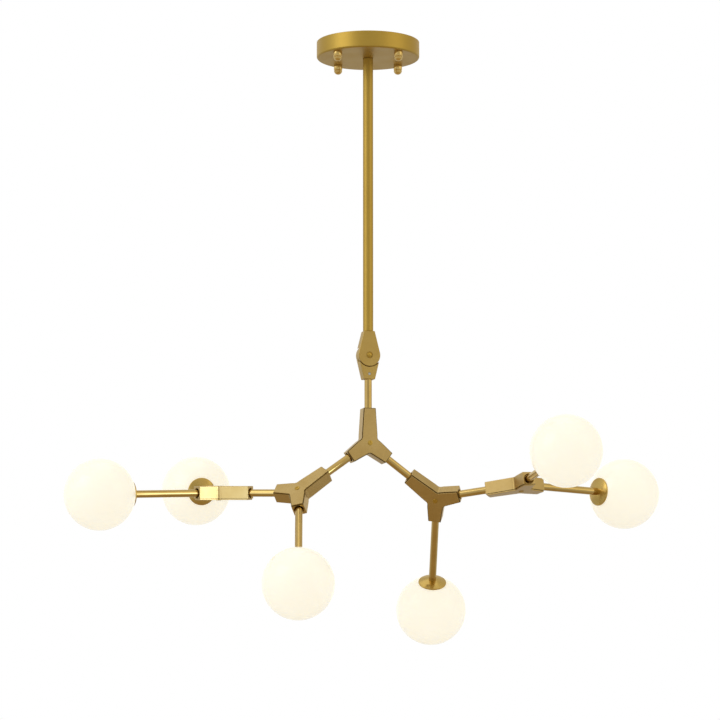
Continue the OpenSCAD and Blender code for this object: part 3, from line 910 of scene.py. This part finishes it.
def fit_on_hubs(model, kind, finish, slot):
    """Copies a model to every globe, one joined piece for each hub."""
    for hub in ("left_hub", "right_hub", "left_end", "right_end"):
        names = [n for n, (h, _) in GLOBES.items() if h == hub]
        objs = [twin(model, kind + "_" + n, globe_place(n)) for n in names]
        plural = "s" if len(objs) > 1 else ""
        piece = join(kind, objs) if plural else objs[0]
        piece.name = piece.data.name = hub + "_" + kind + "_model"
        fit_out(piece, finish, hub, slot, hub + "_" + kind + plural)
    discard(model)


class CHANDELIER_OT_cups(bpy.types.Operator):
    """Shallow turned cups behind the globes"""

    bl_idname = "chandelier.cups"
    bl_label = "Cups"

    def execute(self, context):
        dome_radius, dome_height, seat, hole = 52, 1.9, 50.3, 4.05
        top = CUP_BACK + dome_height
        rings = (hole, 6, 8, 10, 12, 14, 16, 17.5, 18.8)
        dome = [(r, -top + r * r / (2 * dome_radius)) for r in rings]
        edge = arc(19.1, -top + 4.36, 0.8, -70, 0, 6)
        rim = math.sqrt(seat * seat - 20 * 20)
        inner = [(r, -math.sqrt(seat * seat - r * r)) for r in (19.2, 18.4, 17.4, 16.4)]
        profile = dome + edge + [(19.9, -rim + 0.05)] + inner
        profile += [(16.2, -CUP_BACK + CUP_WALL), (hole, -CUP_BACK + CUP_WALL), dome[0]]
        cup = lathe("cup", profile, 64)
        shade(cup, 30)
        weight_normals(cup)
        fit_on_hubs(cup, "cup", "cup", "satin_brass")
        return {"FINISHED"}


class CHANDELIER_OT_lamps(bpy.types.Operator):
    """Lamp holders and capsule bulbs inside the globes"""

    bl_idname = "chandelier.lamps"
    bl_label = "Lamps"

    def holder(self):
        """Foot that fills the globe's mouth, then a grooved barrel that takes the bulb's pins."""
        floor, hole, foot, barrel = -CUP_BACK + CUP_WALL, 4.05, 15.9, 11
        profile = [(hole, floor), (15.6, floor), (foot, floor + 0.3), (foot, -43.4), (15.5, -43)]
        profile += [(11.6, -43), (barrel, -42.4), (barrel, -33.2), (10.5, -32.8)]
        profile += [(10.5, -31.8), (barrel, -31.4), (barrel, -24.6), (10.4, -24), (7.4, -24)]
        profile += [(7.2, -24.5), (3.4, -24.5), (3, -25), (3, -43.9), (hole, -43.9), (hole, floor)]
        obj = lathe("holder", profile, 48)
        shade(obj, 30)
        return obj

    def bulb(self):
        """A glass capsule with its flat pinched foot."""
        radius, top = 8, 24.0
        profile = [(0, -14.5), (6.4, -14.5), (7.6, -13.6), (radius, -12), (radius, 4), (radius, 16)]
        profile += arc(0, 16, radius, 0, 78, 8) + [(1.1, top), (0, top)]
        obj = lathe("bulb", profile, 40)
        pinch = box((0, 0, -0.0193), (0.0136, 0.0056, 0.0098))
        bpy.ops.object.mode_set(mode="EDIT")
        bpy.ops.mesh.select_all(action="SELECT")
        bpy.ops.mesh.bevel(offset=0.0011, segments=3, affect="EDGES")
        bpy.ops.object.mode_set(mode="OBJECT")
        write_uv(pinch, "turned", on_lathe)
        obj = join("bulb", [obj, pinch])
        shade(obj, 35)
        return obj

    def execute(self, context):
        fit_on_hubs(self.holder(), "lampholder", "ceramic", "lampholder_ceramic")
        fit_on_hubs(self.bulb(), "bulb", "bulb", "bulb_glass")
        return {"FINISHED"}


class CHANDELIER_OT_globes(bpy.types.Operator):
    """Six opal globes with a rolled lip and an inner neck"""

    bl_idname = "chandelier.globes"
    bl_label = "Globes"

    def execute(self, context):
        inside = 47.8
        start = math.degrees(math.asin(16.7 / GLOBE_RADIUS))
        outer = arc(0, 0, GLOBE_RADIUS, -90 + start, 90, 56)
        inner = arc(0, 0, inside, 90, -90 + math.degrees(math.asin(18.6 / inside)), 44)
        neck = [(18.2, -43.4), (18.2, -41.4), (17.8, -41.0), (16.4, -41.0)]
        neck += [(MOUTH_RADIUS, -41.4), (MOUTH_RADIUS, -46.7), (16.25, -47.1)]
        profile = inner + neck + outer
        globe = lathe("globe", profile, looks().globe_steps)
        shade(globe, 40)
        for name in GLOBES:
            piece = twin(globe, name + "_globe", globe_place(name))
            fit_out(piece, "opal", "globe_body_" + name, "opal_glass", "globe_" + name)
        discard(globe)
        return {"FINISHED"}


class CHANDELIER_OT_stage(bpy.types.Operator):
    """Pale floor, soft lamps, white surroundings and the camera"""

    bl_idname = "chandelier.stage"
    bl_label = "Stage"

    def floor(self):
        """Pale from above and clear from below; glossy rays see it warm near the middle."""
        deselect()
        bpy.ops.mesh.primitive_plane_add(size=60, location=(0, 0, -2.3))
        floor = bpy.context.object
        floor.name = "studio_floor"
        n = Nodes(bpy.data.materials.new("studio floor"))
        pale = n.add("BsdfDiffuse")
        away = n.add("VectorMath", operation="LENGTH")
        n.join(n.place(), away.inputs[0])
        far = n.span(away.outputs["Value"], 0.0, 1.0, 1.3, 4.8)
        mirrored = n.ramp(far, (0.0, (0.53, 0.40, 0.235)), (1.0, (0.84, 0.84, 0.83)))
        glossy = n.add("LightPath").outputs["Is Glossy Ray"]
        n.join(n.mix(glossy, (0.93, 0.93, 0.92, 1), mirrored), pale.inputs["Color"])
        clear = n.add("BsdfTransparent")
        below = n.add("NewGeometry").outputs["Backfacing"]
        both = n.mix_shaders(below, pale.outputs[0], clear.outputs[0])
        n.join(both, n.out.inputs["Surface"])
        floor.data.materials.append(n.block)

    def lamp(self, name, spot, size, power, tint=(1, 1, 1), aim=(0, 0, -0.5)):
        """A rectangular lamp that the camera doesn't see."""
        deselect()
        bpy.ops.object.light_add(type="AREA", location=spot)
        lamp = bpy.context.object
        lamp.name = name
        lamp.data.shape = "RECTANGLE"
        lamp.data.size, lamp.data.size_y = size
        lamp.data.energy = power
        lamp.data.color = tint
        lamp.visible_camera = False
        way = Vector(aim) - Vector(spot)
        lamp.rotation_mode = "QUATERNION"
        lamp.rotation_quaternion = way.to_track_quat("-Z", "Y")
        return lamp

    def glint(self, name, azimuth, power):
        """A small soft lamp near the left end hub, which only glossy rays see."""
        a = math.radians(azimuth)
        hub = HUBS["left_end"].translation
        spot = hub + Vector((math.sin(a), -math.cos(a), -0.1)) * 0.21
        lamp = self.lamp(name, spot, (0.16, 0.14), power, (0.66, 0.79, 1.0), hub)
        lamp.data.spread = math.radians(50)
        lamp.visible_diffuse = False

    def surroundings(self):
        """White for the camera, plain for diffuse light.

        Glossy rays see it softer on the camera's side and warmer to the right.
        """
        world = bpy.data.worlds.new("studio")
        bpy.context.scene.world = world
        n = Nodes(world, "OutputWorld")
        split = n.add("SeparateXYZ")
        n.join(n.add("TexCoord").outputs["Generated"], split.inputs[0])
        levels = ((0.0, 0.6), (0.08, 0.8), (0.2, 0.96), (0.38, 1.02))
        levels += ((0.58, 0.8), (0.8, 0.78), (1.0, 1.0))
        depth = n.span(split.outputs["Y"], 0.0, 1.0, -1, 1)
        around = n.ramp(depth, *((at, (level, level, level)) for at, level in levels))
        across = n.span(split.outputs["X"], 0.0, 1.0, -1, 1)
        sides = n.mix(across, (0.98, 0.98, 0.98, 1), (0.88, 0.81, 0.64, 1))
        mirror = n.add("Background")
        n.join(n.mix(1, around, sides, "MULTIPLY"), mirror.inputs["Color"])
        plain = n.add("Background")
        plain.inputs["Color"].default_value = (1, 1, 1, 1)
        plain.inputs["Strength"].default_value = 0.72
        white = n.add("Background")
        white.inputs["Color"].default_value = (1, 1, 1, 1)
        path = n.add("LightPath")
        glossy = path.outputs["Is Glossy Ray"]
        unseen = n.mix_shaders(glossy, plain.outputs[0], mirror.outputs[0])
        seen = n.add("Math", operation="MAXIMUM")
        n.join(path.outputs["Is Camera Ray"], seen.inputs[0])
        n.join(path.outputs["Is Transmission Ray"], seen.inputs[1])
        final = n.mix_shaders(seen.outputs[0], unseen, white.outputs[0])
        n.join(final, n.out.inputs["Surface"])

    def camera(self):
        deselect()
        look_up, focal_pixels, picture_pixels, sensor = 8.56, 3591.4, 720, 36
        bpy.ops.object.camera_add(location=(-0.01148, -5.02619, -1.21726))
        camera = bpy.context.object
        camera.name = "front_camera"
        camera.rotation_euler = (math.radians(90 + look_up), 0, 0)
        camera.data.lens = focal_pixels / picture_pixels * sensor
        camera.data.sensor_width = sensor
        camera.data.clip_end = 100
        bpy.context.scene.camera = camera

    def execute(self, context):
        self.floor()
        self.lamp("key_lamp", (-3.0, -1.8, 1.4), (2.3, 2.3), 21)
        self.lamp("fill_lamp", (3.0, -1.6, 0.6), (2.2, 2.6), 6, (1.0, 0.97, 0.92))
        self.lamp("top_lamp", (-0.2, 0.6, 3.0), (2.2, 2.2), 7)
        self.glint("right_glint", 46, 0.03)
        self.glint("left_glint", -36, 0.0135)
        self.surroundings()
        self.camera()
        context.scene.view_settings.view_transform = "Standard"
        return {"FINISHED"}


class CHANDELIER_PT_panel(bpy.types.Panel):
    """Lists the steps that build the chandelier"""

    bl_idname = "CHANDELIER_PT_panel"
    bl_label = "Branch Chandelier"
    bl_space_type = "VIEW_3D"
    bl_region_type = "UI"
    bl_category = "Chandelier"

    def draw(self, context):
        column = self.layout.column()
        for name in ChandelierLooks.__annotations__:
            column.prop(context.scene.chandelier_looks, name)
        for step in STEPS:
            column.operator(step.bl_idname)


STEPS = (
    CHANDELIER_OT_finishes,
    CHANDELIER_OT_canopy,
    CHANDELIER_OT_cap_nuts,
    CHANDELIER_OT_stem,
    CHANDELIER_OT_knuckle,
    CHANDELIER_OT_hubs,
    CHANDELIER_OT_rods,
    CHANDELIER_OT_cups,
    CHANDELIER_OT_lamps,
    CHANDELIER_OT_globes,
    CHANDELIER_OT_stage,
)
CLASSES = (ChandelierLooks, *STEPS, CHANDELIER_PT_panel)


def register():
    for cls in CLASSES:
        bpy.utils.register_class(cls)
    bpy.types.Scene.chandelier_looks = PointerProperty(type=ChandelierLooks)


def unregister():
    del bpy.types.Scene.chandelier_looks
    for cls in reversed(CLASSES):
        bpy.utils.unregister_class(cls)


def main():
    register()
    deselect()
    for step in STEPS:
        area, name = step.bl_idname.split(".")
        result = getattr(getattr(bpy.ops, area), name)()
        if "FINISHED" not in result:
            raise RuntimeError(step.bl_label + " did not finish")
    deselect()


if __name__ == "__main__":
    main()
